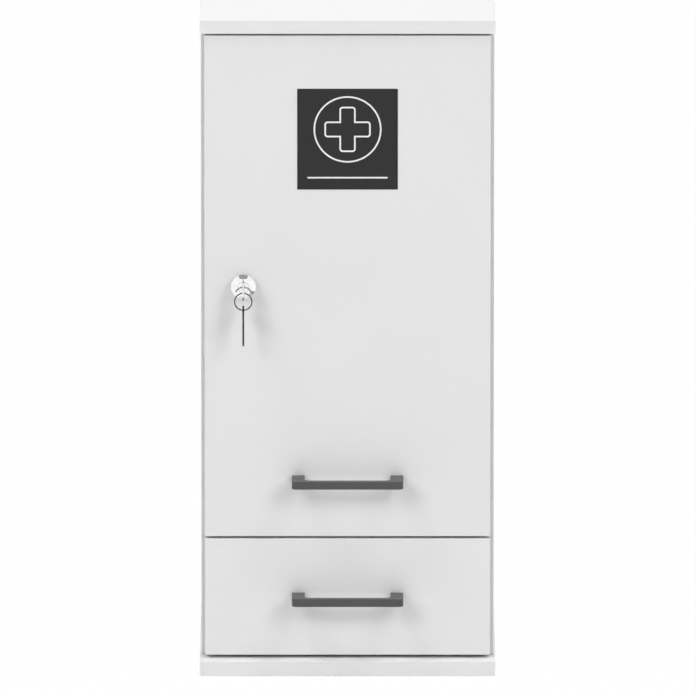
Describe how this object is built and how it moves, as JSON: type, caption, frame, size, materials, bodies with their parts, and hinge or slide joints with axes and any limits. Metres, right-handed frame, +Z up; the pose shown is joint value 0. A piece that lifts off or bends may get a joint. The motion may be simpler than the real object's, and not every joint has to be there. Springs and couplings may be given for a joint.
{
  "type": "medicine cabinet",
  "caption": "White medicine cabinet: a lockable door on concealed hinges with a ringed spare key, over a drawer on roller runners, both with bow handles.",
  "frame": {"origin": "centre of the base board's underside", "axes": "+Z up, the door and drawer fronts face -Y, +X to the right of someone who faces them"},
  "size_m": [0.384, 0.364, 0.8688],
  "materials": {
    "front_white": "white melamine on board, satin",
    "board_white": "white melamine on board, satin",
    "back_board_white": "thin white-faced board, matte",
    "handle_grey": "dark grey coating, satin",
    "lock_chrome": "polished",
    "key_nickel": "nickel-plated, lightly worn",
    "ring_steel": "dark polished steel",
    "hinge_nickel": "nickel-plated, satin",
    "screw_zinc": "zinc-plated",
    "rail_white": "white powder coat",
    "roller_nylon": "pale nylon",
    "pin_nickel": "nickel-plated",
    "bumper_clear": "clear soft stop"
  },
  "bodies": {
    "carcass": {"top_panel": "board_white", "base_panel": "board_white", "left_side_panel": "board_white", "right_side_panel": "board_white", "back_panel": "back_board_white", "divider_panel": "board_white", "upper_shelf": "board_white", "lower_shelf": "board_white", "shelf_pin_lower_left_front": "pin_nickel", "shelf_pin_lower_left_rear": "pin_nickel", "shelf_pin_lower_right_front": "pin_nickel", "shelf_pin_lower_right_rear": "pin_nickel", "shelf_pin_upper_left_front": "pin_nickel", "shelf_pin_upper_left_rear": "pin_nickel", "shelf_pin_upper_right_front": "pin_nickel", "shelf_pin_upper_right_rear": "pin_nickel", "lock_strike": "hinge_nickel", "upper_hinge_plate": "hinge_nickel", "lower_hinge_plate": "hinge_nickel", "upper_hinge_arm": "hinge_nickel", "lower_hinge_arm": "hinge_nickel", "cabinet_rail_left": "rail_white", "cabinet_rail_right": "rail_white"},
    "long_links": {"upper_long_link": "hinge_nickel", "lower_long_link": "hinge_nickel"},
    "short_links": {"upper_short_link": "hinge_nickel", "lower_short_link": "hinge_nickel"},
    "door": {"door_panel": "front_white", "door_handle": "handle_grey", "door_handle_screw_left": "screw_zinc", "door_handle_screw_right": "screw_zinc", "upper_hinge_cup": "hinge_nickel", "lower_hinge_cup": "hinge_nickel", "lock_case": "hinge_nickel", "lock_collar": "lock_chrome", "upper_door_bumper": "bumper_clear", "lower_door_bumper": "bumper_clear"},
    "plug": {"lock_plug": "lock_chrome"},
    "bolt": {"lock_bolt": "key_nickel"},
    "key": {"door_key": "key_nickel"},
    "ring": {"key_ring": "ring_steel"},
    "spare": {"spare_key": "ring_steel"},
    "drawer": {"drawer_front": "front_white", "drawer_left_side": "board_white", "drawer_right_side": "board_white", "drawer_back": "board_white", "drawer_bottom": "back_board_white", "drawer_handle": "handle_grey", "drawer_handle_screw_left": "screw_zinc", "drawer_handle_screw_right": "screw_zinc", "drawer_rail_left": "rail_white", "drawer_rail_right": "rail_white"},
    "front_rollers": {"front_roller_left": "roller_nylon", "front_roller_right": "roller_nylon"},
    "rear_rollers": {"rear_roller_left": "roller_nylon", "rear_roller_right": "roller_nylon"}
  },
  "joints": [
    {"name": "long_link_turn", "type": "hinge", "parent": "carcass", "child": "long_links", "pos_m": [0.152, -0.122, 0.515], "axis": [0, 0, -1], "range_deg": [0, 32.1]},
    {"name": "door_swing", "type": "hinge", "parent": "long_links", "child": "door", "pos_m": [0.1757, -0.136, 0.515], "axis": [0, 0, 1], "range_deg": [0, 132.1]},
    {"name": "short_link_turn", "type": "hinge", "parent": "carcass", "child": "short_links", "pos_m": [0.151, -0.1395, 0.515], "axis": [0, 0, -1], "range_deg": [0, 42]},
    {"name": "lock_turn", "type": "hinge", "parent": "door", "child": "plug", "pos_m": [-0.135, -0.1628, 0.517], "axis": [0, 1, 0], "range_deg": [0, 180]},
    {"name": "bolt_slide", "type": "slide", "parent": "door", "child": "bolt", "axis": [-1, 0, 0], "range_m": [0, 0.009]},
    {"name": "key_slide", "type": "slide", "parent": "plug", "child": "key", "axis": [0, -1, 0], "range_m": [0, 0.035]},
    {"name": "ring_swing", "type": "hinge", "parent": "key", "child": "ring", "pos_m": [-0.135, -0.18055, 0.5131], "axis": [-1, 0, 0], "range_deg": [-10, 90]},
    {"name": "spare_key_swing", "type": "hinge", "parent": "ring", "child": "spare", "pos_m": [-0.135, -0.18055, 0.4907], "axis": [-1, 0, 0], "range_deg": [-10, 60]},
    {"name": "drawer_slide", "type": "slide", "parent": "carcass", "child": "drawer", "axis": [0, -1, 0], "range_m": [0, 0.19]},
    {"name": "front_roller_turn", "type": "hinge", "parent": "carcass", "child": "front_rollers", "pos_m": [0, -0.117, 0.047], "axis": [1, 0, 0], "range_deg": [-5, 1215]},
    {"name": "rear_roller_turn", "type": "hinge", "parent": "drawer", "child": "rear_rollers", "pos_m": [0, 0.1073, 0.047], "axis": [1, 0, 0], "range_deg": [-5, 1215]}
  ],
  "couplings": [
    {"joint": "long_link_turn", "follows": "door_swing", "ratio": 0.24299},
    {"joint": "short_link_turn", "follows": "door_swing", "ratio": 0.31794},
    {"joint": "bolt_slide", "follows": "lock_turn", "m_per_rad": 0.0028647},
    {"joint": "front_roller_turn", "follows": "drawer_slide", "rad_per_m": 111.11},
    {"joint": "rear_roller_turn", "follows": "drawer_slide", "rad_per_m": 111.11}
  ]
}
